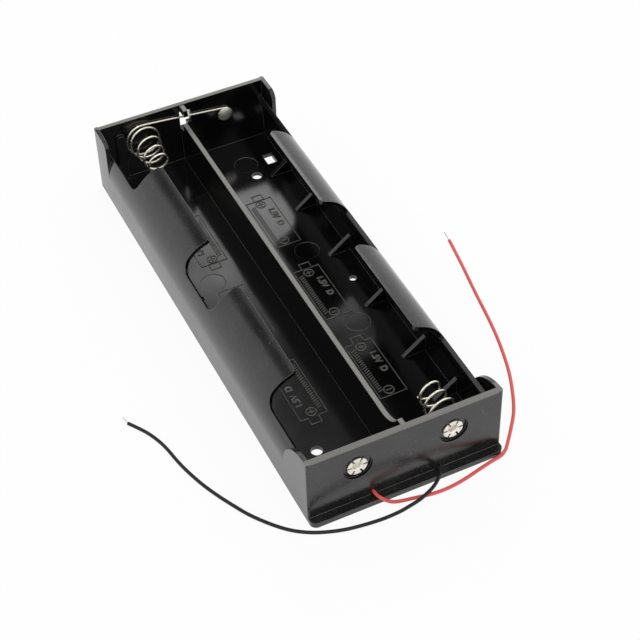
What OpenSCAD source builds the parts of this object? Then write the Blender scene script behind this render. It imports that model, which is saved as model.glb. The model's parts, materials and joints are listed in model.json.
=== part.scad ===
// Open holder for six round cells, three in line in each of two rows.
// A moulded tray with curled lips over each row, riveted contacts, a bridge spring and two leads.
// The origin is the middle of the tray's underside, with the lead end towards -Y and +Z up.

/* [Cells] */
// Largest diameter of one cell
cell_d = 34.2; // [30:0.1:36]
// Largest length of one cell, with its button
cell_len = 61.5; // [50:0.5:65]
// Cells in line in each row
cells_in_row = 3; // [1:1:4]
// Side play of a cell between its walls
cell_play = 0.3; // [0.2:0.1:1]
// Length kept for the contacts and the pressed spring of a row
spring_room = 7.6; // [5:0.1:12]

/* [Tray] */
// Thickness of the side walls and lips
wall_t = 1.6; // [1.2:0.1:2.2]
// Thickness of the two end walls
end_wall_t = 2.2; // [1.8:0.1:3]
// Thickness of the floor
floor_t = 1.8; // [1.2:0.1:2.5]
// Height of the end walls and corners
corner_h = 29.5; // [27:0.5:34]
// Radius of the tray's upright corners
corner_r = 0.8; // [0.3:0.1:1.2]
// Bevel on the top outer edge of the end walls
edge_bevel = 0.4; // [0.2:0.1:0.8]

/* [Curled sides] */
// Height at which a side wall starts to lean over its row
curl_start_h = 12; // [10:0.5:14]
// Outer radius of the lower, flatter part of the curl
curl_r_low = 24.5; // [22:0.5:27]
// Outer radius of the upper, tighter part of the curl
curl_r_high = 15.3; // [13:0.1:17]
// Angle at which the lower part of the curl gives way to the upper
curl_turn = 35; // [30:1:40]
// Angle of the lip's free edge, where 90 would be level
curl_end = 80; // [65:1:85]
// Height of the low edge between the lips
low_edge_h = 22.5; // [19:0.5:24]
// Length of one lip along its free edge
lip_len = 47.5; // [30:0.5:52]
// Gap between the free edges of a side's two lips
lip_gap = 27; // [16:0.5:34]
// Radius that blends a lip into the low edge
lip_root_r = 4.5; // [2:0.5:7]
// Radius of a lip's free corners
lip_tip_r = 2.5; // [1:0.5:4]

/* [Corner posts] */
// Length of the square posts at the bridge end
rear_post_len = 12.6; // [8:0.2:18]
// Radius of their top corner
rear_post_r = 3.5; // [1:0.5:6]
// Radius of the quarter-round posts at the lead end
front_post_r = 19.5; // [12:0.5:22]

/* [Divider] */
// Thickness of the wall between the rows
divider_t = 1.8; // [1.2:0.1:2.4]
// Height of its straight top edge
divider_h = 21.2; // [16:0.2:24]
// Height where its end sweeps up into the front wall
sweep_h = 28.7; // [26:0.1:29]
// Radius of that sweep
sweep_r = 12.6; // [9:0.1:14]
// Width of the slot that lets the bridge wire through
wire_slot_w = 2.6; // [1.6:0.1:4]
// Height of the foot of that slot
wire_slot_h = 17.5; // [15:0.5:18.5]
// Length of the tab that holds the bridge wire down
tab_len = 4.2; // [3.2:0.1:6]
// Height of the tab's underside
tab_h = 26; // [25:0.2:27]

/* [Ribs and flange] */
// Thickness of the triangular braces between floor and side wall
brace_t = 1.6; // [0.8:0.1:1.6]
// Reach of a brace along the floor
brace_reach = 9.1; // [6:0.1:9.4]
// Height of a brace up the wall
brace_h = 7.2; // [5:0.1:7.5]
// Distance of a brace from the joint between two cells
brace_off_joint = 15; // [10:0.5:20]
// Distance of the outer brace from the middle of the end cell
brace_off_end = 8; // [4:0.5:12]
// Width of the round-topped rib beside the bridge spring
stop_rib_w = 3.5; // [2.5:0.1:4]
// Height of that rib's top
stop_rib_h = 24; // [20:0.5:25]
// Thickness of that rib
stop_rib_t = 1.6; // [1:0.1:2]
// Reach of the mounting flange beyond the front wall
flange_reach = 3.3; // [2:0.1:8]
// Thickness of the flange
flange_t = 2.2; // [1.5:0.1:2.4]
// Radius of the flange's corners
flange_r = 2.5; // [1:0.1:3]

/* [Floor holes] */
// Diameter of the two mounting holes
mount_hole_d = 4.3; // [3:0.1:5]
// Sideways distance of a mounting hole from the middle
mount_hole_x = 21.2; // [14:0.1:24]
// Lengthwise distance of a mounting hole from the middle
mount_hole_y = 72.1; // [60:0.1:80]
// Diameter of the small hole near mid length
small_hole_d = 3; // [1.5:0.1:3]
// Diameter of the ejector pin marks
pin_mark_d = 9.7; // [6:0.1:12]
// Depth of those marks
pin_mark_deep = 0.15; // [0.1:0.05:0.3]

/* [Contacts] */
// Diameter of the spring and bridge wire
wire_d = 1; // [0.8:0.1:1.2]
// Outer diameter of a spring's first turn
spring_base_d = 15; // [12:0.2:17]
// Outer diameter of a spring's last turn
spring_free_d = 9.8; // [8:0.2:11]
// Free length of the bridge spring
bridge_spring_len = 19.5; // [14:0.5:22]
// Free length of the lead end's spring
lead_spring_len = 17; // [12:0.5:20]
// How far the free end of the lead end's spring stands above its row's axis
spring_lean = 2.4; // [0:0.1:3]
// Open turns of a spring between its closed ends
spring_turns = 3; // [2:1:5]
// Outer diameter of a tube rivet's barrel
rivet_d = 4.4; // [3.6:0.1:4.8]
// Diameter of the hole through the barrel
rivet_bore = 3.2; // [2:0.1:3.2]
// Diameter of the rivet's inner head
rivet_head_d = 6.2; // [5.6:0.1:7.5]
// Thickness of that head
rivet_head_t = 0.9; // [0.6:0.1:1.4]
// Diameter across the rolled-over petals
star_d = 7.5; // [6:0.1:8.4]
// Number of petals
petals = 6; // [4:1:8]
// Width of the slits between the petals
petal_gap = 0.7; // [0.4:0.1:1]
// Diameter of the recess round the petals
recess_d = 11.2; // [9:0.1:11.5]
// Depth of that recess
recess_deep = 1.2; // [0.8:0.1:1.2]

/* [Leads] */
// Diameter of a lead over its insulation
lead_d = 1.3; // [1.3:0.1:1.6]
// Diameter of the tinned strands
strand_d = 0.7; // [0.5:0.1:0.8]
// Diameter of a lead's hole in the front wall
lead_hole_d = 2.4; // [2:0.1:2.6]
// Distance of the lead holes from the middle
lead_hole_x = 12.3; // [12.3:0.1:12.4]
// Height of the lead holes
lead_hole_h = 3.2; // [3.2:0.1:3.3]

/* [Hidden] */

$fn = 96;
eps = 0.01;
// Clearance between a rivet's barrel and its hole
rivet_fit = 0.05;
// Clearance between pieces that only lie against each other
seat_gap = 0.05;
// Inner radius of the bend where a rivet's barrel turns into its petals
petal_bend = 0.1;
// Width of the ring round a rivet's bore that the slits leave whole
petal_rim = 0.5;
// Steps along one turn of a spring, round a contact's loop, and from that loop out to its spring
turn_steps = 22;
loop_steps = 15;
widen_steps = 12;
// Turns of the lead end's spring below the place where the black lead is joined to it
joint_turn = 1.66;

// Bays, rows and the tray's outer size
bay_w = cell_d + cell_play;
bay_len = cells_in_row * cell_len + spring_room;
tray_w = 2 * bay_w + divider_t + 2 * wall_t;
tray_len = bay_len + 2 * end_wall_t;
row_x = (divider_t + bay_w) / 2;
row_h = floor_t + cell_d / 2;
in_x = tray_w / 2 - wall_t;
in_y = bay_len / 2;
out_y = tray_len / 2;

// Centres and turning angles of the curled side, as [x, z] on the right
curl_low_c = [tray_w / 2 - curl_r_low, curl_start_h];
curl_high_c = curl_low_c + (curl_r_low - curl_r_high) * [cos(curl_turn), sin(curl_turn)];
low_edge_angle = asin((low_edge_h - curl_start_h) / curl_r_low);
low_edge = curl_low_c + curl_r_low * [cos(low_edge_angle), sin(low_edge_angle)];
lip_edge = curl_high_c + curl_r_high * [cos(curl_end), sin(curl_end)];
// Direction and height of the straight line from the low edge up to the lip's edge
lip_rise = norm(lip_edge - low_edge);
lip_slope = atan2(lip_edge[1] - low_edge[1], low_edge[0] - lip_edge[0]);

// Lengthwise places of the braces
brace_y = [cell_len / 2 - brace_off_joint, cell_len / 2 + brace_off_joint, cell_len + brace_off_end];

// Small hole and slotted test hole in the right bay's floor, and the ejector marks
small_hole_at = [29, 0];
test_hole_at = [30.4, 79.6];
test_hole_size = [4.1, 6.2];
pin_marks = [[20, 22], [20, -22], [-20, 22], [-20, -22], [20, 80.3]];

// Window behind the wire slot, in the rear wall: [left, right, foot, top]
window_low = [-1.3, 1.9, wire_slot_h, tab_h];
window_high = [-1.3, 3.4, wire_slot_h + 2.3, tab_h];

// Heights of the contacts' parts along Y, from a wall's inner face
barrel_bore_d = rivet_d + 2 * rivet_fit;
loop_r = (rivet_d + wire_d) / 2 + seat_gap;
hook_r = (rivet_d + strand_d) / 2 + seat_gap;
base_r = (spring_base_d - wire_d) / 2;
free_r = (spring_free_d - wire_d) / 2;
wire_seat = wire_d / 2 + seat_gap;

// Routes of the free leads from the front wall, lying on the surface
red_route = [
    [-12.3, -98.25, 3.2], [-12.1, -100, 3.1], [-11.3, -101.7, 2.9], [-9.8, -103.1, 2.1],
    [-7.6, -104, 1.2], [-4.6, -104.6, 0.8], [-1, -105.2, 0.7], [3, -106, 0.7], [8, -106.7, 0.7],
    [13.5, -106.6, 0.7], [19.5, -105.7, 0.7], [26, -104.2, 0.7], [31.5, -103, 0.7],
    [35.3, -102.3, 0.7], [38.1, -100.6, 0.7], [40.5, -98, 0.7], [44.4, -93.4, 0.7],
    [49.3, -87, 0.7], [53.4, -79.5, 0.7],
    [57.7, -69.5, 0.7], [61.4, -57.5, 0.7], [64.3, -45, 0.7], [67.3, -28, 0.7],
    [70.4, -11.5, 0.7], [72.8, 2.7, 0.7]];
black_route = [
    [12.3, -98.25, 3.2], [12.1, -100, 3.2], [11.1, -101.9, 3.1], [9.4, -103.6, 2.8],
    [6.6, -105.3, 2.3], [3.2, -106.8, 2.2], [0, -107.8, 2], [-4, -108.3, 1.5], [-8, -108.5, 0.9],
    [-14, -108.5, 0.7], [-20, -108, 0.7], [-26.5, -107, 0.7], [-32.4, -105.3, 0.7],
    [-38.3, -102.7, 0.7], [-43.6, -99, 0.7], [-48.3, -94, 0.7], [-53.3, -87, 0.7],
    [-56.7, -80.6, 0.7], [-59.8, -74, 0.7], [-62.6, -67, 0.7], [-65, -59, 0.7],
    [-66.3, -53, 0.7], [-67.3, -47, 0.7], [-68.6, -42, 0.7], [-71, -36.2, 0.7],
    [-75.2, -29.4, 0.7]];
red_tip_end = [73.5, 8, 0.7];
black_tip_end = [-75.8, -25.6, 0.7];

// ---- Sweeps -------------------------------------------------------------------------------

function unit(v) = v / norm(v);

function heading(path, i) =
    unit(path[min(i + 1, len(path) - 1)] - path[max(i - 1, 0)]);

function square_to(n, t) = unit(n - (n * t) * t);

function first_normal(t) = square_to(abs(t[2]) < 0.9 ? [0, 0, 1] : [1, 0, 0], t);

// One normal for each point, turned as little as possible from the one before it
function normals(path) = [
    for (i = 0, n = first_normal(heading(path, 0)); i < len(path);
         i = i + 1, n = i < len(path) ? square_to(n, heading(path, i)) : n) n];

// Round wire of radius r along a path, with flat ends square to it
module wire(path, r, sides = 10) {
    side_normals = normals(path);
    last = len(path) - 1;
    rings = [
        for (i = [0:last], k = [0:sides - 1])
            let (n = side_normals[i], b = cross(heading(path, i), n), a = k * 360 / sides)
                path[i] + r * (cos(a) * n + sin(a) * b)];
    skin = [
        for (i = [0:last - 1], k = [0:sides - 1])
            let (a = i * sides + k, b = i * sides + (k + 1) % sides)
                [a, a + sides, b + sides, b]];
    start_cap = [[for (k = [0:sides - 1]) k]];
    end_cap = [[for (k = [sides - 1:-1:0]) last * sides + k]];
    polyhedron(points = rings, faces = concat(skin, start_cap, end_cap), convexity = 10);
}

// Point at share t between points 1 and 2 of four, on a smooth curve through all
function spline_point(p0, p1, p2, p3, t) =
    (2 * p1 + (p2 - p0) * t + (2 * p0 - 5 * p1 + 4 * p2 - p3) * t * t
        + (3 * p1 - p0 - 3 * p2 + p3) * t * t * t) / 2;

// A smooth path through every point of a route, with so many steps from one to the next
function smooth(route, steps) = let (last = len(route) - 1) concat(
    [for (i = [0:last - 1], s = [0:steps - 1])
        spline_point(route[max(i - 1, 0)], route[i], route[i + 1], route[min(i + 2, last)],
            s / steps)],
    [route[last]]);

// ---- Tray ---------------------------------------------------------------------------------

// Points along an arc about c, from angle a0 to a1 in so many steps
function arc(c, r, a0, a1, steps) =
    [for (i = [0:steps]) let (a = a0 + (a1 - a0) * i / steps) c + r * [cos(a), sin(a)]];

// Section of the right-hand side wall, as x and height: two arcs that run into each other,
// on the outside from the floor up and on the inside back down
module side_section() {
    polygon(concat(
        [[tray_w / 2, 0]],
        arc(curl_low_c, curl_r_low, 0, curl_turn, 10),
        arc(curl_high_c, curl_r_high, curl_turn + 4, curl_end, 11),
        arc(curl_high_c, curl_r_high - wall_t, curl_end, curl_turn + 4, 11),
        arc(curl_low_c, curl_r_low - wall_t, curl_turn, 0, 10),
        [[in_x, 0]]));
}

// One lip's outline: its free edge lies at height lip_rise, its foot on the low edge
module lip_outline() {
    half = lip_len / 2;
    right = concat(
        [[half + lip_root_r, -1]],
        arc([half + lip_root_r, lip_root_r], lip_root_r, 270, 180, 6),
        arc([half - lip_tip_r, lip_rise - lip_tip_r], lip_tip_r, 0, 90, 6));
    left = [for (i = [len(right) - 1:-1:0]) [-right[i][0], right[i][1]]];
    polygon(concat(right, [[half - lip_tip_r, lip_rise + 2], [lip_tip_r - half, lip_rise + 2]], left));
}

// Everything of a side that the low edge and the lips leave standing, as one thick block
module side_outline_block() {
    lip_mid = (lip_gap + lip_len) / 2;
    translate([low_edge[0], 0, low_edge[1]])
        rotate([0, lip_slope - 90, 0]) rotate([90, 0, 90])
            translate([0, 0, -curl_r_low]) linear_extrude(2 * curl_r_low) {
                translate([-tray_len, -2 * corner_h]) square([2 * tray_len, 2 * corner_h]);
                for (side = [-1, 1]) translate([side * lip_mid, 0]) lip_outline();
            }
}

// Upright plates that square off the two ends of a side wall
module corner_posts() {
    rear = out_y - rear_post_len;
    translate([in_x, 0, 0]) rotate([90, 0, 90]) linear_extrude(wall_t) {
        translate([rear, 0]) square([rear_post_len, corner_h - rear_post_r]);
        translate([rear + rear_post_r, 0]) square([rear_post_len - rear_post_r, corner_h]);
        translate([rear + rear_post_r, corner_h - rear_post_r]) circle(rear_post_r);
        intersection() {
            translate([-out_y, corner_h - front_post_r]) circle(front_post_r, $fn = 180);
            translate([-out_y, 0]) square([front_post_r, corner_h]);
        }
        translate([-out_y, 0]) square([front_post_r, corner_h - front_post_r + eps]);
    }
}

module side_wall() {
    intersection() {
        rotate([90, 0, 0]) linear_extrude(bay_len + 2 * eps, center = true) side_section();
        side_outline_block();
    }
    corner_posts();
}

// An end wall with its outer face at +Y
module end_wall() {
    rotate([90, 0, 90]) linear_extrude(tray_w, center = true)
        polygon([[in_y, 0], [out_y, 0], [out_y, corner_h - edge_bevel],
            [out_y - edge_bevel, corner_h], [in_y, corner_h]]);
}

module divider() {
    rotate([90, 0, 90]) linear_extrude(divider_t, center = true) {
        translate([-in_y - eps, 0]) square([bay_len + 2 * eps, divider_h]);
        difference() {
            translate([-in_y - eps, divider_h - eps])
                square([sweep_r + 2, sweep_h - divider_h + eps]);
            translate([2 - in_y + sweep_r - eps, divider_h + sweep_r]) circle(sweep_r);
        }
        translate([in_y - tab_len, tab_h]) square([tab_len + eps, corner_h - edge_bevel - tab_h]);
    }
}

// Triangular plate between the floor and the right-hand side wall
module brace() {
    rotate([90, 0, 0]) linear_extrude(brace_t, center = true)
        polygon([[in_x - brace_reach, floor_t - eps], [in_x + eps, floor_t - eps],
            [in_x + eps, floor_t + brace_h]]);
}

// Round-topped rib on the rear wall that keeps the bridge spring's first turn in place
module stop_rib() {
    rib_x = row_x + (spring_base_d + stop_rib_w) / 2 + seat_gap;
    translate([-rib_x, in_y + eps, 0]) rotate([90, 0, 0]) linear_extrude(stop_rib_t) {
        translate([-stop_rib_w / 2, 0]) square([stop_rib_w, stop_rib_h - stop_rib_w / 2]);
        translate([0, stop_rib_h - stop_rib_w / 2]) circle(stop_rib_w / 2);
    }
}

// Plate along the foot of the front wall
module flange() {
    reach = flange_reach + end_wall_t;
    translate([0, -in_y, 0]) linear_extrude(flange_t) {
        translate([-tray_w / 2, -reach + flange_r]) square([tray_w, reach - flange_r]);
        translate([-tray_w / 2 + flange_r, -reach]) square([tray_w - 2 * flange_r, reach]);
        for (side = [-1, 1])
            translate([side * (tray_w / 2 - flange_r), -reach + flange_r]) circle(flange_r);
    }
}

// Hole and recess for a rivet in the end wall at +Y
module rivet_seat(x) {
    translate([x, 0, row_h]) rotate([-90, 0, 0]) {
        cylinder(d = barrel_bore_d, h = out_y + 1);
        translate([0, 0, out_y - recess_deep]) cylinder(d = recess_d, h = recess_deep + 1);
    }
}

module floor_holes() {
    for (side = [-1, 1])
        translate([side * mount_hole_x, side * mount_hole_y, -1])
            cylinder(d = mount_hole_d, h = floor_t + 2);
    translate([small_hole_at[0], small_hole_at[1], -1])
        cylinder(d = small_hole_d, h = floor_t + 2);
    translate([test_hole_at[0], test_hole_at[1], 0])
        cube([test_hole_size[0], test_hole_size[1], 3 * floor_t], center = true);
    for (at = pin_marks)
        translate([at[0], at[1], floor_t - pin_mark_deep]) cylinder(d = pin_mark_d, h = 1);
}

// Slot through the divider's rear end and the window behind it
module wire_way() {
    translate([-divider_t, in_y - wire_slot_w, wire_slot_h])
        cube([2 * divider_t, wire_slot_w, tab_h - wire_slot_h]);
    for (w = [window_low, window_high])
        translate([w[0], in_y - eps, w[2]]) cube([w[1] - w[0], end_wall_t + 1, w[3] - w[2]]);
}

// Upright block with the tray's rounded corners, without the flange
module tray_envelope() {
    linear_extrude(2 * corner_h) {
        square([tray_w, tray_len - 2 * corner_r], center = true);
        square([tray_w - 2 * corner_r, tray_len], center = true);
        for (sx = [-1, 1], sy = [-1, 1])
            translate([sx * (tray_w / 2 - corner_r), sy * (out_y - corner_r)]) circle(corner_r);
    }
}

module tray() {
    color([0.13, 0.13, 0.14]) {
        difference() {
            union() {
                intersection() {
                    union() {
                        translate([-tray_w / 2, -out_y, 0]) cube([tray_w, tray_len, floor_t]);
                        for (side = [0, 1]) mirror([0, side, 0]) end_wall();
                        for (side = [0, 1]) mirror([side, 0, 0]) side_wall();
                    }
                    tray_envelope();
                }
                divider();
                for (side = [0, 1], end = [-1, 1], y = brace_y)
                    mirror([side, 0, 0]) translate([0, end * y, 0]) brace();
                stop_rib();
                flange();
            }
            floor_holes();
            wire_way();
            rivet_seat(row_x);
            for (side = [-1, 1]) {
                mirror([0, 1, 0]) rivet_seat(side * row_x);
                translate([side * lead_hole_x, -in_y + 1, lead_hole_h]) rotate([90, 0, 0])
                    cylinder(d = lead_hole_d, h = end_wall_t + 2);
            }
        }
    }
}

// ---- Contacts -----------------------------------------------------------------------------

// Tube rivet through an end wall at +Y: its head lies inside, its petals in the recess.
// held is the thickness of wire that the head traps against the wall.
module rivet(held) {
    grip = end_wall_t - recess_deep + held;
    lip_t = (rivet_d - rivet_bore) / 2;
    bend_r = lip_t + petal_bend;
    petal_reach = (star_d - rivet_bore) / 2;
    slit_start = rivet_bore / 2 + petal_rim;
    color([0.86, 0.84, 0.78]) difference() {
        rotate_extrude() {
            translate([0, -grip - rivet_head_t]) intersection() {
                square([rivet_head_d / 2, rivet_head_t]);
                translate([0, rivet_head_d]) circle(rivet_head_d, $fn = 180);
            }
            translate([0, -grip - eps]) square([rivet_d / 2, lip_t]);
            translate([rivet_bore / 2, -grip]) square([lip_t, grip + eps]);
            translate([rivet_bore / 2 + bend_r, 0]) intersection() {
                difference() {
                    circle(bend_r);
                    circle(bend_r - lip_t);
                }
                translate([-bend_r, 0]) square([bend_r, bend_r]);
            }
            translate([rivet_bore / 2 + bend_r - eps, petal_bend])
                square([petal_reach - bend_r + eps, lip_t]);
        }
        for (i = [0:petals - 1]) rotate(i * 360 / petals)
            translate([slit_start, -petal_gap / 2, seat_gap]) cube([star_d, petal_gap, star_d]);
    }
}

// The same rivet set into the end wall at end = 1 (rear) or -1 (front)
module set_rivet(x, end, held) {
    translate([x, end * (out_y - recess_deep + seat_gap), row_h])
        rotate([end > 0 ? -90 : 90, 0, 0]) rivet(held + 3 * seat_gap);
}

// Path of a cone spring along +Y from a wall, as [x, y, z] from its row's axis.
// It starts at angle a0 and turns by hand * 360 for each turn; the two ends are closed turns.
function cone_spring(length, a0, hand, lean) =
    let (turns = spring_turns + 1.6, closed = 1.7 * wire_d,
         open = (length - wire_d - 1.6 * closed) / spring_turns)
    [for (i = [0:turns * turn_steps])
        let (t = i / turn_steps, a = a0 + hand * 360 * t,
             y = min(t, 1) * closed + max(0, min(t - 1, spring_turns)) * open
                 + max(0, t - 1 - spring_turns) * closed,
             s = max(0, min(1, (t - 0.7) / (turns - 1))),
             r = free_r + (base_r - free_r) * pow(1 - s, 1.7))
            [r * cos(a), y, r * sin(a) + lean * y / length]];

// Path along part of a circle about the row's axis, in the wall's plane
function loop_path(r, a0, sweep, steps) =
    [for (i = [0:steps]) let (a = a0 + sweep * i / steps) [r * cos(a), 0, r * sin(a)]];

// The bridge leaves the spring's first turn on the line that touches both loops from above
bridge_angle = 90 - asin((base_r - loop_r) / (2 * row_x));
bridge_path = let (
        wall = [0, in_y - wire_seat, row_h],
        coil = [for (p = cone_spring(bridge_spring_len, bridge_angle, 1, 0))
            wall + [p[0] - row_x, -p[1], p[2]]],
        loop = [for (p = loop_path(loop_r, bridge_angle, -285, 18))
            wall + [p[0] + row_x, 0, p[2]]])
    concat([for (i = [len(coil) - 1:-1:0]) coil[i]], [(coil[0] + loop[0]) / 2], loop);

// The lead end's spring starts as a loop under its rivet and widens to its first turn
lead_spring_path = let (
        wall = [row_x, -in_y + wire_seat, row_h],
        loop = loop_path(loop_r, 200, -250, loop_steps),
        widen = [for (i = [1:widen_steps])
            let (s = i / (widen_steps + 1), r = loop_r + (base_r - loop_r) * s, a = -50 - 250 * s)
                [r * cos(a), 0, r * sin(a)]],
        coil = cone_spring(lead_spring_len, -300, -1, spring_lean))
    [for (p = concat(loop, widen, coil)) wall + p];

module bridge_spring() {
    color([0.82, 0.80, 0.74]) wire(bridge_path, wire_d / 2);
}

module lead_spring() {
    color([0.82, 0.80, 0.74]) wire(lead_spring_path, wire_d / 2);
}

module rivet_front_left() {
    set_rivet(-row_x, -1, strand_d);
}

module rivet_front_right() {
    set_rivet(row_x, -1, wire_d);
}

module rivet_rear_right() {
    set_rivet(row_x, 1, wire_d);
}

// ---- Leads --------------------------------------------------------------------------------

lead_seat = lead_d / 2 + seat_gap;
// The inside stretch of the red lead runs up the front wall to a hook round its rivet
red_inside_route = [
    [-lead_hole_x, -out_y, lead_hole_h], [-lead_hole_x, -in_y - 0.4, lead_hole_h],
    [-lead_hole_x, -in_y + 0.9, 3.6], [-12.6, -in_y + 1.1, 5.4],
    [-13.2, -in_y + lead_seat, 9], [-13.9, -in_y + lead_seat, 12.5]];
red_hook_path = let (
        start = red_inside_route[len(red_inside_route) - 1],
        seat = -in_y + strand_d / 2 + seat_gap,
        turn = [for (p = loop_path(hook_r, 15, 280, 16)) [p[0] - row_x, seat, p[2] + row_h]])
    concat([start, [start[0] + 0.1, start[1] - 0.1, start[2] + 1]], turn);

// The inside stretch of the black lead rises to the left side of its spring
joint_at = lead_spring_path[loop_steps + 1 + widen_steps + round(joint_turn * turn_steps)]
    - [(wire_d + strand_d) / 2 + seat_gap, 0, 0];
black_inside_route = [
    [lead_hole_x, -out_y, lead_hole_h], [lead_hole_x, -in_y - 0.4, lead_hole_h],
    [lead_hole_x - 0.1, -in_y + 1.2, 3.6], [lead_hole_x - 0.3, -in_y + 2.6, 5.5],
    [joint_at[0] - 0.4, joint_at[1] - 1, joint_at[2] - 7],
    [joint_at[0] - 0.3, joint_at[1] - 0.2, joint_at[2] - 3.5]];

module red_lead() {
    color([0.80, 0.16, 0.15]) wire(smooth(red_route, 2), lead_d / 2, 8);
}

module red_lead_tip() {
    start = red_route[len(red_route) - 1];
    color([0.75, 0.73, 0.68]) wire([start, (start + red_tip_end) / 2, red_tip_end], strand_d / 2, 8);
}

module red_lead_inside() {
    color([0.80, 0.16, 0.15]) wire(smooth(red_inside_route, 3), lead_d / 2, 8);
}

module red_lead_hook() {
    color([0.75, 0.73, 0.68]) wire(red_hook_path, strand_d / 2, 8);
}

module black_lead() {
    color([0.10, 0.10, 0.11]) wire(smooth(black_route, 2), lead_d / 2, 8);
}

module black_lead_tip() {
    start = black_route[len(black_route) - 1];
    color([0.75, 0.73, 0.68])
        wire([start, (start + black_tip_end) / 2, black_tip_end], strand_d / 2, 8);
}

module black_lead_inside() {
    color([0.10, 0.10, 0.11]) wire(smooth(black_inside_route, 3), lead_d / 2, 8);
}

module black_lead_joint() {
    start = black_inside_route[len(black_inside_route) - 1];
    color([0.75, 0.73, 0.68])
        wire([start, joint_at - [0, 0, 1.5], joint_at, joint_at + [0, 0, 1]], strand_d / 2, 8);
}

tray();
bridge_spring();
lead_spring();
rivet_front_left();
rivet_front_right();
rivet_rear_right();
red_lead();
red_lead_tip();
red_lead_inside();
red_lead_hook();
black_lead();
black_lead_tip();
black_lead_inside();
black_lead_joint();
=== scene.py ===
"""Looks of an open moulded holder for six round cells, with its contacts, leads and studio."""
import json
import math

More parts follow.
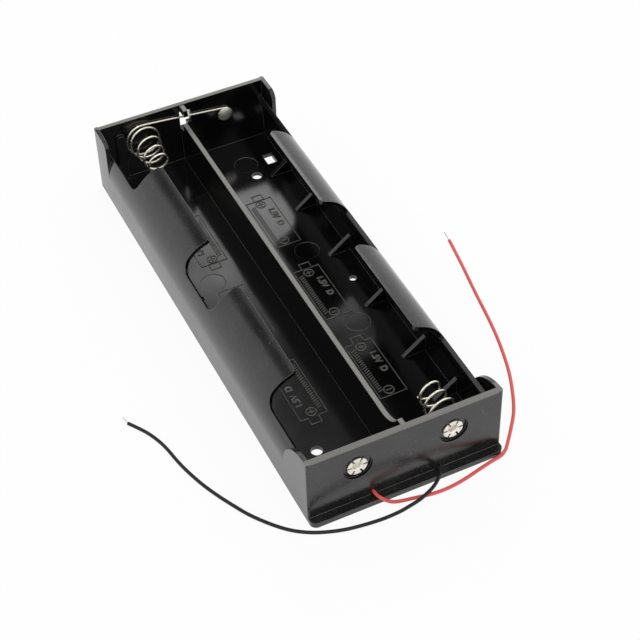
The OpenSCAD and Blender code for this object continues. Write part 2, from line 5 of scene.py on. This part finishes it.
import bmesh
import bpy
from mathutils import Euler, Matrix, Vector
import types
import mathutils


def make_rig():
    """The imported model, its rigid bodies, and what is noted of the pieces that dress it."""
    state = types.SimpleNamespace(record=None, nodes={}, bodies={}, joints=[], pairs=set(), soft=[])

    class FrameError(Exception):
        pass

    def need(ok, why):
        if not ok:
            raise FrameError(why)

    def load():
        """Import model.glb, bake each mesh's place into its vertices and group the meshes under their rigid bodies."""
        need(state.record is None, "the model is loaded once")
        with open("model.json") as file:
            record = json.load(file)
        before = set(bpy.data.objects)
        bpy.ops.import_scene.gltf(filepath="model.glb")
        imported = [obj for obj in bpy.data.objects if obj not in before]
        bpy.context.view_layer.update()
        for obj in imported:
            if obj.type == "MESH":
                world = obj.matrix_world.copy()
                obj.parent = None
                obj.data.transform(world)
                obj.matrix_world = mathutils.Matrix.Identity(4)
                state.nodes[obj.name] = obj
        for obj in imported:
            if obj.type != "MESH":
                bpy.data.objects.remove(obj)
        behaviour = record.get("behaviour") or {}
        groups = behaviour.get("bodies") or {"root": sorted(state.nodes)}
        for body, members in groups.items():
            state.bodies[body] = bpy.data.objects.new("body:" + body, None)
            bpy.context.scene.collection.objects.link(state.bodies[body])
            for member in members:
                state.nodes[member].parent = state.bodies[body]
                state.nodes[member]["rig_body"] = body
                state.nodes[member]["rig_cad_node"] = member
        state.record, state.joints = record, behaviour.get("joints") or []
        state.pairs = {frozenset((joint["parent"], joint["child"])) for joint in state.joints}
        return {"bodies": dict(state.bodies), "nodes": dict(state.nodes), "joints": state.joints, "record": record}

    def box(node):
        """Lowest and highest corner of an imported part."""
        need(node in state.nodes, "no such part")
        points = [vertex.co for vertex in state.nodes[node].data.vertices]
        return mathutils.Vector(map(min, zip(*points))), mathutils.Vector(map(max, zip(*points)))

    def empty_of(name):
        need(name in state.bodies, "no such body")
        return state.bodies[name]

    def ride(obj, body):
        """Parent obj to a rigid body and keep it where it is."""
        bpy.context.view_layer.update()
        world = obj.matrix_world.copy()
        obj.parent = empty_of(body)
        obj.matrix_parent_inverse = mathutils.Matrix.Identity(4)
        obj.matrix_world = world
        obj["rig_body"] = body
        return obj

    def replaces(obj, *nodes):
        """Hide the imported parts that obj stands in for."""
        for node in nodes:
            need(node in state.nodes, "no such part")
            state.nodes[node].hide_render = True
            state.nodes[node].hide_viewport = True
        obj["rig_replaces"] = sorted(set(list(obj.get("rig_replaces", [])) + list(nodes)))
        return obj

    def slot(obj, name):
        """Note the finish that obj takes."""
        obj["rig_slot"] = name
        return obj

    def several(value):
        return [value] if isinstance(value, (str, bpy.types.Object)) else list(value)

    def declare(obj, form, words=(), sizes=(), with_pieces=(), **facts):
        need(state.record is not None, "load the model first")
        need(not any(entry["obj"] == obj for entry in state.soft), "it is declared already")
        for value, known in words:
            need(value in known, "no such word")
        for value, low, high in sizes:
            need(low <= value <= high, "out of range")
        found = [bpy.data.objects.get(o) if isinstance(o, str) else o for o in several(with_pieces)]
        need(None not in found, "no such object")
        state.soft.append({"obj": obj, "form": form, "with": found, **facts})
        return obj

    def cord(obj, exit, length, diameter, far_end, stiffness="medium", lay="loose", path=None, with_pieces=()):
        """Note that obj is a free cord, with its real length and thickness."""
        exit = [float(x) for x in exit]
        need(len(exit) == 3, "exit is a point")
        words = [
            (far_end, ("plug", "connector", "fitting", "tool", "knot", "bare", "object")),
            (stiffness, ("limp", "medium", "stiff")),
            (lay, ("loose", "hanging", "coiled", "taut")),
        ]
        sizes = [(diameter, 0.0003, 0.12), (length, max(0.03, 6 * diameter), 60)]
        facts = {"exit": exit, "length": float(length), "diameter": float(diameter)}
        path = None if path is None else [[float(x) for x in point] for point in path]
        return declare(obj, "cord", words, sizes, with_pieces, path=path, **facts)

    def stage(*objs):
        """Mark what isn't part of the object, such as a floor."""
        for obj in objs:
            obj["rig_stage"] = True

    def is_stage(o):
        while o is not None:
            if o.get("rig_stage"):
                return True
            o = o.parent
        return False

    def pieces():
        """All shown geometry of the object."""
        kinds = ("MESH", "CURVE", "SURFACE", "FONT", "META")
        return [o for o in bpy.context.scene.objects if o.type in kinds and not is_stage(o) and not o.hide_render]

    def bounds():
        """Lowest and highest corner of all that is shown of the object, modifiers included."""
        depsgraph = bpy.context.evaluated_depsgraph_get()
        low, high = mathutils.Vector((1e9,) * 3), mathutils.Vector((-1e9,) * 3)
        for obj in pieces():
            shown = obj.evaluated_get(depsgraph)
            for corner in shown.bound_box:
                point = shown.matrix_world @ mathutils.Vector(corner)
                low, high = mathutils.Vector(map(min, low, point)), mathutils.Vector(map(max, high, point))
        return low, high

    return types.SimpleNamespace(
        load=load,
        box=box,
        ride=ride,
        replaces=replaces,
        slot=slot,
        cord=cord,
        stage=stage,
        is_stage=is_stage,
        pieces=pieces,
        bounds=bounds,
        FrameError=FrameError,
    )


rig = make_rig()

MM = 0.001
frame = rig.load()
solid_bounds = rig.bounds()
nodes = frame["nodes"]


# ---- Camera and leads ---------------------------------------------------------------------

# The camera's place in metres, its compass turn, its rise above the floor and its roll in degrees
CAMERA_PLACE = Vector((-0.18061, -0.42643, 0.45659))
CAMERA_TURN, CAMERA_RISE, CAMERA_ROLL = -24.596, 45.135, -1.780
CAMERA_LENS = 96.24

LEAD_D = 1.3
STEPS_PER_POINT = 5

# Routes of the free leads from the front wall, in millimetres, as the solids have them
RED_ROUTE = [
    (-12.3, -98.25, 3.2), (-12.1, -100, 3.1), (-11.3, -101.7, 2.9), (-9.8, -103.1, 2.1),
    (-7.6, -104, 1.2), (-4.6, -104.6, 0.8), (-1, -105.2, 0.7), (3, -106, 0.7),
    (8, -106.7, 0.7), (13.5, -106.6, 0.7), (19.5, -105.7, 0.7), (26, -104.2, 0.7),
    (31.5, -103, 0.7), (35.3, -102.3, 0.7), (38.1, -100.6, 0.7), (40.5, -98, 0.7),
    (44.4, -93.4, 0.7), (49.3, -87, 0.7), (53.4, -79.5, 0.7), (57.7, -69.5, 0.7),
    (61.4, -57.5, 0.7), (64.3, -45, 0.7), (67.3, -28, 0.7), (70.4, -11.5, 0.7),
    (72.8, 2.7, 0.7)]
BLACK_ROUTE = [
    (12.3, -98.25, 3.2), (12.1, -100, 3.2), (11.1, -101.9, 3.1), (9.4, -103.6, 2.8),
    (6.6, -105.3, 2.3), (3.2, -106.8, 2.2), (0, -107.8, 2), (-4, -108.3, 1.5),
    (-8, -108.5, 0.9), (-14, -108.5, 0.7), (-20, -108, 0.7), (-26.5, -107, 0.7),
    (-32.4, -105.3, 0.7), (-38.3, -102.7, 0.7), (-43.6, -99, 0.7), (-48.3, -94, 0.7),
    (-53.3, -87, 0.7), (-56.7, -80.6, 0.7), (-59.8, -74, 0.7), (-62.6, -67, 0.7),
    (-65, -59, 0.7), (-66.3, -53, 0.7), (-67.3, -47, 0.7), (-68.6, -42, 0.7),
    (-71, -36.2, 0.7), (-75.2, -29.4, 0.7)]

def add_camera():
    lens = bpy.data.cameras.new("camera")
    lens.lens = CAMERA_LENS
    lens.clip_start, lens.clip_end = 0.01, 20
    camera = bpy.data.objects.new("camera", lens)
    bpy.context.scene.collection.objects.link(camera)
    tilt = Euler((math.radians(90 - CAMERA_RISE), 0, math.radians(CAMERA_TURN)))
    roll = Matrix.Rotation(math.radians(CAMERA_ROLL), 3, "Z")
    camera.matrix_world = Matrix.LocRotScale(CAMERA_PLACE, tilt.to_matrix() @ roll, None)
    bpy.context.scene.camera = camera


def smooth_path(route):
    """A smooth path in metres through every point of a route in millimetres."""
    points = [Vector(p) * MM for p in route]
    last = len(points) - 1
    path = []
    for i in range(last):
        before, here = points[max(i - 1, 0)], points[i]
        there, after = points[i + 1], points[min(i + 2, last)]
        for step in range(STEPS_PER_POINT):
            t = step / STEPS_PER_POINT
            path.append((
                2 * here + (there - before) * t
                + (2 * before - 5 * here + 4 * there - after) * t ** 2
                + (3 * here - before - 3 * there + after) * t ** 3) / 2)
    return path + [points[last]]


def path_length(path):
    return sum((b - a).length for a, b in zip(path, path[1:]))


def scene_object(name, data):
    made = bpy.data.objects.new(name, data)
    bpy.context.scene.collection.objects.link(made)
    return made


def applied(made):
    """The same piece with its curve or modifiers turned into plain mesh."""
    shown = made.evaluated_get(bpy.context.evaluated_depsgraph_get())
    mesh = bpy.data.meshes.new_from_object(shown)
    name = made.name
    bpy.data.objects.remove(made)
    return scene_object(name, mesh)


def add_tube(name, path, diameter):
    """A round tube with closed ends along a path in metres."""
    curve = bpy.data.curves.new(name, "CURVE")
    curve.dimensions = "3D"
    curve.bevel_depth = diameter / 2
    curve.bevel_resolution = 5
    curve.use_fill_caps = True
    spline = curve.splines.new("POLY")
    spline.points.add(len(path) - 1)
    for point, place in zip(spline.points, path):
        point.co = (*place, 1)
    spline.use_smooth = True
    return applied(scene_object(name, curve))


def add_lead(colour, route):
    """The free stretch of a lead, from its hole in the front wall to its stripped end."""
    path = smooth_path(route)
    lead = add_tube(f"{colour}_lead_insulation", path, LEAD_D * MM)
    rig.ride(lead, "root")
    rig.slot(lead, f"{colour}_insulation")
    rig.replaces(lead, f"{colour}_lead")
    return lead, path


add_camera()
red_lead, red_path = add_lead("red", RED_ROUTE)
black_lead, black_path = add_lead("black", BLACK_ROUTE)


# ---- Building blocks ----------------------------------------------------------------------

class Signal:
    """What a socket gives; arithmetic on it adds Math nodes to its tree."""

    def __init__(self, owner, socket):
        self.owner = owner
        self.socket = socket

    def _maths(self, operation, first, second):
        return self.owner.add("ShaderNodeMath", {"operation": operation}, {0: first, 1: second})

    def __add__(self, other):
        return self._maths("ADD", self, other)

    def __sub__(self, other):
        return self._maths("SUBTRACT", self, other)

    def __rsub__(self, other):
        return self._maths("SUBTRACT", other, self)

    def __mul__(self, other):
        return self._maths("MULTIPLY", self, other)

    __radd__ = __add__
    __rmul__ = __mul__


class Nodes:
    """A node tree of any kind, whose nodes all come from one method."""

    def __init__(self, tree):
        self.tree = tree

    def add(self, kind, settings=None, inputs=None, output=0):
        """Adds a node, with its settings first and then the values or links of its sockets."""
        node = self.tree.nodes.new(kind)
        for name, value in (settings or {}).items():
            setattr(node, name, value)
        for key, value in (inputs or {}).items():
            self.join(value, node.inputs[key])
        return Signal(self, node.outputs[output]) if node.outputs else None

    def join(self, value, socket):
        """Gives a socket a signal, several signals from a list, or a plain value."""
        signals = value if isinstance(value, list) else [value]
        if isinstance(signals[0], Signal):
            for signal in signals:
                self.tree.links.new(signal.socket, socket)
        else:
            socket.default_value = value

    def step(self, signal, low, high, start=0.0, end=1.0):
        """The start value below low, the end value above high and a soft change between them."""
        return self.add("ShaderNodeMapRange", {"interpolation_type": "SMOOTHSTEP"}, {
            "Value": signal, "From Min": low, "From Max": high, "To Min": start, "To Max": end})

    def larger(self, first, second):
        return self.add("ShaderNodeMath", {"operation": "MAXIMUM"}, {0: first, 1: second})

    def agreement(self, first, second):
        """1 where two directions are the same, less as they part."""
        return self.add("ShaderNodeVectorMath", {"operation": "DOT_PRODUCT"}, {
            0: first, 1: second}, output="Value")


class Finish(Nodes):
    """A material with one Principled shader and the nodes that feed it."""

    def __init__(self, name, color, roughness, **constants):
        self.material = bpy.data.materials.new(name)
        self.material.use_nodes = True
        self.material.diffuse_color = (*color, 1)
        super().__init__(self.material.node_tree)
        self.shader = self.tree.nodes["Principled BSDF"]
        self.color = color
        constants = {"Base Color": (*color, 1), "Roughness": roughness, **constants}
        for socket, value in constants.items():
            self.shader.inputs[socket].default_value = value
        self.place = self.add("ShaderNodeTexCoord", output="Object")

    def feed(self, socket, signal):
        self.join(signal, self.shader.inputs[socket])

    def painted(self, attribute):
        """A number that the piece's own mesh holds for each of its faces."""
        return self.add("ShaderNodeAttribute", {"attribute_name": attribute}, output="Fac")

    def noise(self, per_metre, detail=2.0, stretch=(1, 1, 1), turn=(0, 0, 0)):
        """Soft noise from 0 to 1, with so many lumps in a metre along each axis."""
        place = self.add("ShaderNodeMapping", None, {
            "Vector": self.place, "Rotation": turn, "Scale": stretch})
        return self.add("ShaderNodeTexNoise", None, {
            "Vector": place, "Scale": per_metre, "Detail": detail})

    def tint(self, mask, other):
        """Feeds the base colour, which turns to the other colour where the mask is 1."""
        mixed = self.add(
            "ShaderNodeMix", {"data_type": "RGBA"},
            {0: mask, 6: (*self.color, 1), 7: (*other, 1)}, output=2)
        self.feed("Base Color", mixed)

    def rounded(self, radius):
        """The surface's direction with its edges rounded to a radius in metres."""
        return self.add("ShaderNodeBevel", {"samples": 6}, {"Radius": radius})

    def edges(self, radius):
        """1 along every edge and crease, fading out within a radius in metres."""
        flat = self.add("ShaderNodeNewGeometry", output="Normal")
        return self.step(1 - self.agreement(self.rounded(radius), flat), 0.03, 0.16)

    def relief(self, height, depth, edge=0.0):
        """Feeds the normal with a height in metres, over edges rounded to a radius."""
        inputs = {"Height": height, "Distance": depth, "Strength": 1.0}
        if edge:
            inputs["Normal"] = self.rounded(edge)
        self.feed("Normal", self.add("ShaderNodeBump", None, inputs))


def put(made, material, slot, *replaced):
    """Gives a finished piece its material, its body, its slot and the solids it stands for."""
    made.data.materials.clear()
    made.data.materials.append(material)
    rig.ride(made, "root")
    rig.slot(made, slot)
    if replaced:
        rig.replaces(made, *replaced)
    return made


def merged_solid(node):
    """A solid's own mesh with its loose triangles joined."""
    work = bmesh.new()
    work.from_mesh(nodes[node].data)
    bmesh.ops.remove_doubles(work, verts=work.verts, dist=1e-6)
    return work


def as_mesh(work, name, smooth_below):
    """Ends a bmesh as a mesh that is smooth across edges flatter than an angle in degrees."""
    mesh = bpy.data.meshes.new(name)
    work.to_mesh(mesh)
    work.free()
    if "custom_normal" in mesh.attributes:
        mesh.attributes.remove(mesh.attributes["custom_normal"])
    mesh.shade_smooth()
    mesh.set_sharp_from_angle(angle=math.radians(smooth_below))
    return mesh


# ---- Finishes -----------------------------------------------------------------------------

STYRENE = (0.004, 0.004, 0.0042)
# Pale tone for the scuffs and specks of the outer skin, and also the colour of the painted highlights on rims, raised
# marks and edges
WEAR_AND_HIGHLIGHT_STYRENE = (0.28, 0.272, 0.25)


def moulded_plastic():
    """Black styrene, polished in the bays and satin outside, with painted highlights that make its rims, raised marks
    and edges pale.

    The tray's faces hold two numbers: "outside" is 1 on the satin skin, and the second is how strongly a face is
    painted pale as a painted highlight.
    """
    finish = Finish("moulded_plastic", STYRENE, 0.2, IOR=1.59)
    outside = finish.painted("outside")
    rims = finish.painted("rims")
    edges = finish.edges(0.0002)
    warp = finish.noise(26, 1)
    clouds = finish.noise(70, 3)
    grain = finish.noise(2600, 1)
    scuffs = finish.step(finish.noise(60, 2, (1, 1, 22), (0.6, 0.9, 0.2)), 0.66, 0.74)
    specks = finish.step(finish.noise(900, 0), 0.76, 0.80)
    skin_wear = scuffs * 0.05 + specks * 0.11 + grain * 0.22 + clouds * 0.12 - 0.145
    # The outer skin's scuffs, specks and grain are its own tone; the pale rims, raised marks and edges are painted
    # highlights
    finish.tint(skin_wear * outside + rims * (0.6 + grain * 0.4) + edges * 0.8, WEAR_AND_HIGHLIGHT_STYRENE)
    finish.feed("Roughness", clouds * 0.14 + outside * (scuffs * 0.15 + 0.04) + rims * 0.3 + 0.06)
    finish.relief(
        grain * (outside * 2.5 + 0.1) + clouds * 0.8 + warp * 40, depth=0.00001, edge=0.0003)
    return finish.material


def bright_metal(name, color, roughness):
    """Plated wire or tube with faint drawing marks."""
    finish = Finish(name, color, roughness, Metallic=1.0)
    finish.feed("Roughness", finish.noise(1500, 2) * 0.16 + (roughness - 0.08))
    finish.relief(finish.noise(3000, 1), depth=0.000008, edge=0.0001)
    return finish.material


def insulation(name, color):
    """Soft PVC with a faint skin."""
    finish = Finish(name, color, 0.38, **{"Specular IOR Level": 0.3})
    finish.feed("Roughness", finish.noise(700, 2) * 0.2 + 0.28)
    finish.relief(finish.noise(1600, 2), depth=0.00001)
    return finish.material


PLASTIC = moulded_plastic()
NICKEL = bright_metal("nickel_plate", (0.90, 0.86, 0.74), 0.26)
RIVET_PLATE = bright_metal("rivet_plate", (0.92, 0.89, 0.82), 0.48)
TIN = bright_metal("tinned_copper", (0.80, 0.78, 0.73), 0.32)
RED_PVC = insulation("red_pvc", (0.85, 0.13, 0.12))
BLACK_PVC = insulation("black_pvc", (0.014, 0.014, 0.015))


# ---- Tray ---------------------------------------------------------------------------------

# Places that tell the tray's faces apart, in millimetres from its middle and above the ground
HALF_WIDTH, HALF_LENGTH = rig.box("tray")[1].xy / MM
SIDE_X = HALF_WIDTH - 15
OUTER_END_Y = HALF_LENGTH - 0.25
BAY_END_Y = HALF_LENGTH - 2.35
DIVIDER_X = 1
LIP_Z = 22
DIVIDER_RIM_Z, END_RIM_Z = 18, 20

# How pale the tops of the divider and the end walls are painted, a painted highlight where they catch the light
DIVIDER_RIM, END_RIM = 1.0, 0.8


def is_outside(face):
    """Whether a face of the tray belongs to its satin outer skin."""
    place, normal = face.calc_center_median() / MM, face.normal
    faces_out = math.copysign(1, place.x) * normal.x > 0.05
    on_lip = normal.z > 0.5 and place.z > LIP_Z
    on_side = abs(place.x) > SIDE_X and (faces_out or on_lip)
    return abs(place.y) > OUTER_END_Y or on_side


def rim_highlight_share(face):
    """How pale a face of the tray is painted as a highlight, as the top of the divider or of an end wall."""
    place, normal = face.calc_center_median() / MM, face.normal
    if normal.z < 0.3 or place.z < DIVIDER_RIM_Z:
        return 0.0
    if abs(place.y) < BAY_END_Y:
        return DIVIDER_RIM if abs(place.x) < DIVIDER_X else 0.0
    return END_RIM if place.z > END_RIM_Z else 0.0


def add_tray():
    work = merged_solid("tray")
    outside = work.faces.layers.float.new("outside")
    rims = work.faces.layers.float.new("rims")
    for face in work.faces:
        face[outside] = float(is_outside(face))
        face[rims] = rim_highlight_share(face)
    tray = scene_object("tray_shell", as_mesh(work, "tray_shell", 28))
    return put(tray, PLASTIC, "tray_plastic", "tray")


# ---- Raised marks on the floor ------------------------------------------------------------

# In millimetres. A cell's own places are measured from the middle of its outline.
MARK_SIZES = {
    "Floor Height": 1.8, "Line": 0.6,
    "Row X": 15.1, "First Cell Y": 43, "Cell Pitch": 44.65,
    "Cell Length": 28.7, "Cell Width": 10.7,
    "Nub Length": 3.2, "Nub Width": 4.16, "Nub X": 0.4,
    "Sign Radius": 1.9, "Sign Bar": 2.28, "Plus Y": 11.9, "Minus X": -0.6, "Minus Y": -11.6,
    "Figure Size": 3.6, "Rating X": 1.5, "Rating Y": 8.4,
    "Tick Width": 1.8, "Tick Rise": 0.7, "Tick Pitch": 1.15, "First Tick X": -3.6,
    "First Tick Y": 11}
CELLS_IN_ROW = 3
TICKS = 20
RATING = "1.5V  D"
# How pale the raised floor marks are painted, a painted highlight for the light their slopes catch
MARK_HIGHLIGHT = 0.6


class LineDrawing(Nodes):
    """A Geometry Nodes tree that draws lines on a floor, with its sizes as named inputs."""

    def __init__(self, name, sizes):
        super().__init__(bpy.data.node_groups.new(name, "GeometryNodeTree"))
        sockets = self.tree.interface
        sockets.new_socket(name="Marks", in_out="OUTPUT", socket_type="NodeSocketGeometry")
        self.identifiers = {}
        for size in sizes:
            socket = sockets.new_socket(
                name=size, in_out="INPUT", socket_type="NodeSocketFloat")
            self.identifiers[size] = socket.identifier

    def size(self, name):
        return self.add("NodeGroupInput", output=name)

    def place(self, x, y, z=0.0):
        return self.add("ShaderNodeCombineXYZ", None, {"X": x, "Y": y, "Z": z})

    def moved(self, shape, place=(0, 0, 0), turn=0.0):
        """A shape turned about the upright axis by an angle in degrees, and then moved."""
        return self.add("GeometryNodeTransform", None, {
            "Geometry": shape, "Translation": place, "Rotation": (0, 0, math.radians(turn))})

    def joined(self, *shapes):
        return self.add("GeometryNodeJoinGeometry", None, {0: list(shapes)})

    def circle(self, radius, corners):
        return self.add("GeometryNodeCurvePrimitiveCircle", {"mode": "RADIUS"}, {
            "Resolution": corners, "Radius": radius})

    def rectangle(self, width, length):
        return self.add("GeometryNodeCurvePrimitiveQuadrilateral", {"mode": "RECTANGLE"}, {
            "Width": width, "Height": length})

    def stroke(self, width, length):
        """A straight line, centred on its middle."""
        return self.add("GeometryNodeCurvePrimitiveLine", {"mode": "POINTS"}, {
            "Start": self.place(width * -0.5, length * -0.5),
            "End": self.place(width * 0.5, length * 0.5)})

    def row(self, shape, count, start, pitch):
        """Copies of a shape, one behind the other towards the lead end."""
        points = self.add("GeometryNodeMeshLine", {"mode": "OFFSET", "count_mode": "TOTAL"}, {
            "Count": count, "Start Location": start, "Offset": self.place(0.0, pitch * -1)})
        return self.add("GeometryNodeInstanceOnPoints", None, {
            "Points": points, "Instance": shape})


def pole_signs(marks):
    """A plus and a minus, each in its ring."""
    bar = marks.stroke(0.0, marks.size("Sign Bar"))
    minus = marks.joined(marks.circle(marks.size("Sign Radius"), 24), marks.moved(bar, turn=90))
    return marks.joined(minus, bar), minus


def cell_marks(marks):
    """One cell's outline with its nub, its two poles, its rating and a scale of ticks."""
    size = marks.size
    plus, minus = pole_signs(marks)
    nub = marks.rectangle(size("Nub Width"), size("Nub Length"))
    nub_y = (size("Cell Length") + size("Nub Length")) * 0.5
    rating = marks.add("GeometryNodeStringToCurves", None, {
        "String": RATING, "Size": size("Figure Size")})
    tick = marks.stroke(size("Tick Width"), size("Tick Rise"))
    first_tick = marks.place(size("First Tick X"), size("First Tick Y"))
    return marks.joined(
        marks.rectangle(size("Cell Width"), size("Cell Length")),
        marks.moved(nub, marks.place(size("Nub X"), nub_y)),
        marks.moved(plus, marks.place(0.0, size("Plus Y"))),
        marks.moved(minus, marks.place(size("Minus X"), size("Minus Y"))),
        marks.moved(rating, marks.place(size("Rating X"), size("Rating Y")), turn=-90),
        marks.row(tick, TICKS, first_tick, size("Tick Pitch")))


def add_floor_marks():
    """Raised marks for three cells in each bay, the left bay's turned end for end."""
    marks = LineDrawing("floor_marks", MARK_SIZES)
    size = marks.size
    first_cell = marks.place(size("Row X"), size("First Cell Y"))
    bay = marks.row(cell_marks(marks), CELLS_IN_ROW, first_cell, size("Cell Pitch"))
    lines = marks.add("GeometryNodeCurveToMesh", None, {
        "Curve": marks.joined(bay, marks.moved(bay, turn=180)),
        "Profile Curve": marks.circle(size("Line") * 0.5, 6), "Fill Caps": True})
    raised = marks.moved(lines, marks.place(0.0, 0.0, size("Floor Height")))
    # The marks take the tray's painted-highlight share, so they are painted pale
    pale = marks.add(
        "GeometryNodeStoreNamedAttribute", {"data_type": "FLOAT", "domain": "FACE"},
        {"Geometry": raised, "Name": "rims", "Value": MARK_HIGHLIGHT})
    whole = marks.add("GeometryNodeRealizeInstances", None, {"Geometry": pale})
    finished = marks.add("GeometryNodeSetMaterial", None, {
        "Geometry": whole, "Material": PLASTIC})
    marks.add("NodeGroupOutput", None, {0: finished})

    piece = scene_object("floor_marks", bpy.data.meshes.new("floor_marks"))
    maker = piece.modifiers.new("marks", "NODES")
    maker.node_group = marks.tree
    for name, millimetres in MARK_SIZES.items():
        maker[marks.identifiers[name]] = millimetres * MM
    return put(applied(piece), PLASTIC, "tray_plastic")


# ---- Contacts and leads -------------------------------------------------------------------

def add_wire(node, name, material, slot):
    """A drawn wire or a lead's inner stretch: its solid made round by one subdivision."""
    work = merged_solid(node)
    bmesh.ops.join_triangles(
        work, faces=work.faces, angle_face_threshold=3, angle_shape_threshold=3)
    made = scene_object(name, as_mesh(work, name, 80))
    rounding = made.modifiers.new("rounding", "SUBSURF")
    rounding.levels = rounding.render_levels = 1
    return put(applied(made), material, slot, node)


def add_rivet(node):
    made = scene_object(f"{node}_shell", as_mesh(merged_solid(node), node, 35))
    return put(made, RIVET_PLATE, "nickel_steel", node)


add_tray()
add_floor_marks()
for spring in ("bridge_spring", "lead_spring"):
    add_wire(spring, f"{spring}_wire", NICKEL, "nickel_steel")
for rivet in ("rivet_front_left", "rivet_front_right", "rivet_rear_right"):
    add_rivet(rivet)

for colour, lead, pvc, path, bare_end in (
        ("red", red_lead, RED_PVC, red_path, "hook"),
        ("black", black_lead, BLACK_PVC, black_path, "joint")):
    add_wire(f"{colour}_lead_inside", f"{colour}_lead_inner", pvc, f"{colour}_insulation")
    bare = f"{colour}_lead_{bare_end}"
    add_wire(bare, f"{bare}_strands", TIN, "tinned_copper")
    tip = add_wire(f"{colour}_lead_tip", f"{colour}_lead_strands", TIN, "tinned_copper")
    lead.data.materials.append(pvc)
    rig.cord(
        lead, exit=path[0], length=path_length(path), diameter=LEAD_D * MM, far_end="bare",
        stiffness="limp", lay="loose", path=path, with_pieces=[tip])


# ---- Studio -------------------------------------------------------------------------------

WHITE = (1, 1, 1, 1)
PAPER = (0.95, 0.95, 0.95, 1)
WORLD_LIGHT = 0.75
# Direction of the dim part of the sky that the bays' floors mirror, and its strength
DARK_SKY = (0.0, 0.62, 0.785)
DARK_SKY_SHARE = 0.2
# How white the floor looks in itself, and how much of that a mirror image of it keeps
FLOOR_GLOW, MIRRORED_GLOW = 0.92, 0.9
FLOOR_HALF_WIDTH = 3

# Name, place in metres, width in metres and brightness of each lamp, which faces the holder
SOFTBOXES = (
    ("softbox_top", (0.06, 0.93, 1.17), 0.6, 0.6),
    ("softbox_right", (0.66, 1.1, 0.85), 0.55, 2.6),
    ("softbox_high", (-0.15, -0.35, 1.35), 0.45, 3.0))


def empty_nodes(owner):
    owner.use_nodes = True
    owner.node_tree.nodes.clear()
    return Nodes(owner.node_tree)


def ray(shader, kind):
    """1 for the rays of one kind, and 0 for the rest."""
    return shader.add("ShaderNodeLightPath", output=f"Is {kind} Ray")


def add_sky():
    """An even light all round, which looks white but for a dim part that glossy faces mirror."""
    world = bpy.data.worlds.new("studio")
    bpy.context.scene.world = world
    sky = empty_nodes(world)
    seen = ray(sky, "Camera")
    mirrored = sky.larger(ray(sky, "Glossy"), ray(sky, "Transmission"))
    direction = sky.add("ShaderNodeTexCoord", output="Generated")
    nearness = sky.agreement(direction, DARK_SKY)
    backdrop = sky.larger(seen, sky.step(nearness, 0.8, 0.94, start=1.0, end=DARK_SKY_SHARE))
    light = sky.add("ShaderNodeBackground", None, {"Color": WHITE, "Strength": WORLD_LIGHT})
    white = sky.add("ShaderNodeBackground", None, {"Color": WHITE, "Strength": backdrop})
    mixed = sky.add("ShaderNodeMixShader", None, {
        0: sky.larger(seen, mirrored), 1: light, 2: white})
    sky.add("ShaderNodeOutputWorld", None, {"Surface": mixed})


def white_paper():
    """Paper that takes the holder's shadow and otherwise looks plain white."""
    paper = bpy.data.materials.new("white_paper")
    sheet = empty_nodes(paper)
    mirrored = sheet.larger(ray(sheet, "Glossy"), ray(sheet, "Transmission"))
    shown = sheet.larger(ray(sheet, "Camera"), mirrored * MIRRORED_GLOW)
    base = sheet.add("ShaderNodeBsdfDiffuse", None, {"Color": PAPER})
    glow = sheet.add("ShaderNodeEmission", None, {"Color": WHITE, "Strength": 1.0})
    surface = sheet.add("ShaderNodeMixShader", None, {0: shown * FLOOR_GLOW, 1: base, 2: glow})
    sheet.add("ShaderNodeOutputMaterial", None, {"Surface": surface})
    return paper


def add_floor():
    work = bmesh.new()
    bmesh.ops.create_grid(work, x_segments=1, y_segments=1, size=FLOOR_HALF_WIDTH)
    mesh = bpy.data.meshes.new("studio_floor")
    work.to_mesh(mesh)
    work.free()
    floor = scene_object("studio_floor", mesh)
    floor.data.materials.append(white_paper())
    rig.stage(floor)


def add_lamps():
    for name, place, width, brightness in SOFTBOXES:
        lamp = bpy.data.lights.new(name, "AREA")
        lamp.size = width
        lamp.energy = brightness * math.pi * width ** 2
        made = scene_object(name, lamp)
        made.location = place
        made.rotation_euler = Vector(place).to_track_quat("Z", "Y").to_euler()


bpy.context.scene.view_settings.view_transform = "Standard"
add_sky()
add_floor()
add_lamps()

with open("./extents.json", "w") as sizes:
    json.dump([[list(corner) for corner in box] for box in (solid_bounds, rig.bounds())], sizes)
